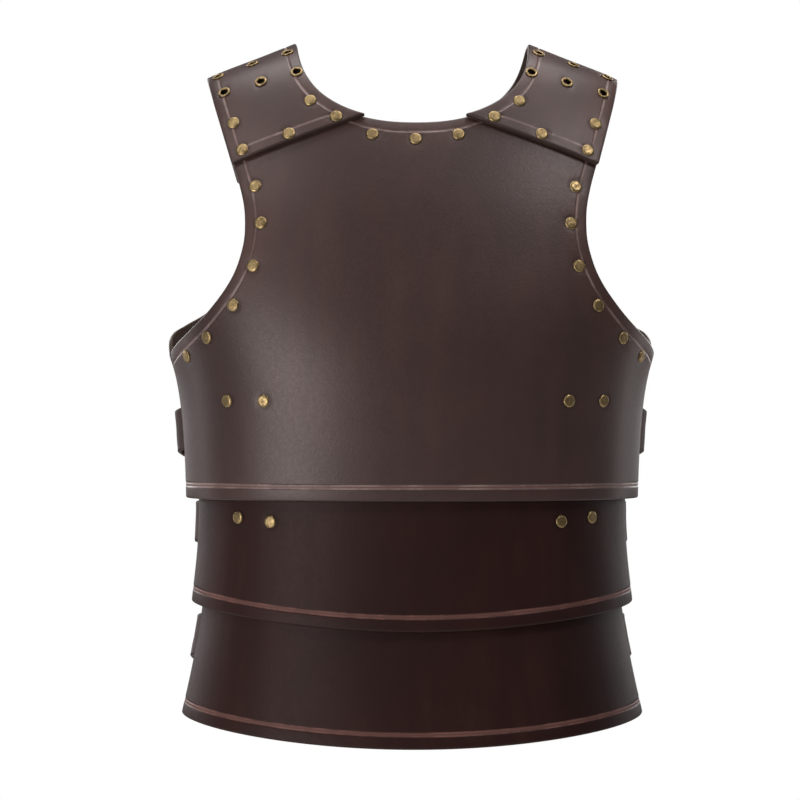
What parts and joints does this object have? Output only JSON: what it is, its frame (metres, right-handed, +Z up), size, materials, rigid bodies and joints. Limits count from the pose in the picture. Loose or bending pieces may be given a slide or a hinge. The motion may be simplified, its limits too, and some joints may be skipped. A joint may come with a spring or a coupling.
{
  "type": "leather cuirass",
  "caption": "Worn leather chest armour: breast and back plates with hanging lames, riveted shoulder straps and buckled side straps, open at neck, arms and hem.",
  "frame": {"origin": "midway between the undersides of the two shoulder straps at the top of the shoulders, where the wearer holds it up", "axes": "+Z up, the front of the armour faces -Y, and the wearer's left is +X"},
  "size_m": [0.361, 0.2485, 0.5068],
  "materials": {
    "leather": "semi-matt, burnished edges",
    "strap_leather": "semi-matt, burnished edges",
    "brass": "antique, worn"
  },
  "bodies": {
    "root": {"breast_plate": "leather", "back_plate": "leather", "front_lame_upper": "leather", "front_lame_lower": "leather", "back_lame_upper": "leather", "back_lame_lower": "leather", "shoulder_strap_left": "strap_leather", "shoulder_strap_right": "strap_leather", "eyelet_1_left": "brass", "eyelet_1_right": "brass", "eyelet_2_left": "brass", "eyelet_2_right": "brass", "eyelet_3_left": "brass", "eyelet_3_right": "brass", "eyelet_4_left": "brass", "eyelet_4_right": "brass", "eyelet_5_left": "brass", "eyelet_5_right": "brass", "eyelet_6_left": "brass", "eyelet_6_right": "brass", "rivet_shoulder_1_left": "brass", "rivet_shoulder_1_right": "brass", "rivet_shoulder_2_left": "brass", "rivet_shoulder_2_right": "brass", "rivet_shoulder_3_left": "brass", "rivet_shoulder_3_right": "brass", "rivet_shoulder_4_left": "brass", "rivet_shoulder_4_right": "brass", "rivet_shoulder_5_left": "brass", "rivet_shoulder_5_right": "brass", "side_strap_upper_left": "strap_leather", "side_strap_upper_right": "strap_leather", "buckle_upper_left": "brass", "buckle_upper_right": "brass", "chape_upper_left": "strap_leather", "chape_upper_right": "strap_leather", "side_strap_middle_left": "strap_leather", "side_strap_middle_right": "strap_leather", "buckle_middle_left": "brass", "buckle_middle_right": "brass", "chape_middle_left": "strap_leather", "chape_middle_right": "strap_leather", "side_strap_lower_left": "strap_leather", "side_strap_lower_right": "strap_leather", "buckle_lower_left": "brass", "buckle_lower_right": "brass", "chape_lower_left": "strap_leather", "chape_lower_right": "strap_leather", "rivet_upper_1_left": "brass", "rivet_upper_1_right": "brass", "rivet_upper_2_left": "brass", "rivet_upper_2_right": "brass", "rivet_middle_1_left": "brass", "rivet_middle_1_right": "brass", "rivet_middle_2_left": "brass", "rivet_middle_2_right": "brass", "hanger_front_left": "strap_leather", "hanger_front_right": "strap_leather", "hanger_back_left": "strap_leather", "hanger_back_right": "strap_leather"}
  },
  "joints": []
}
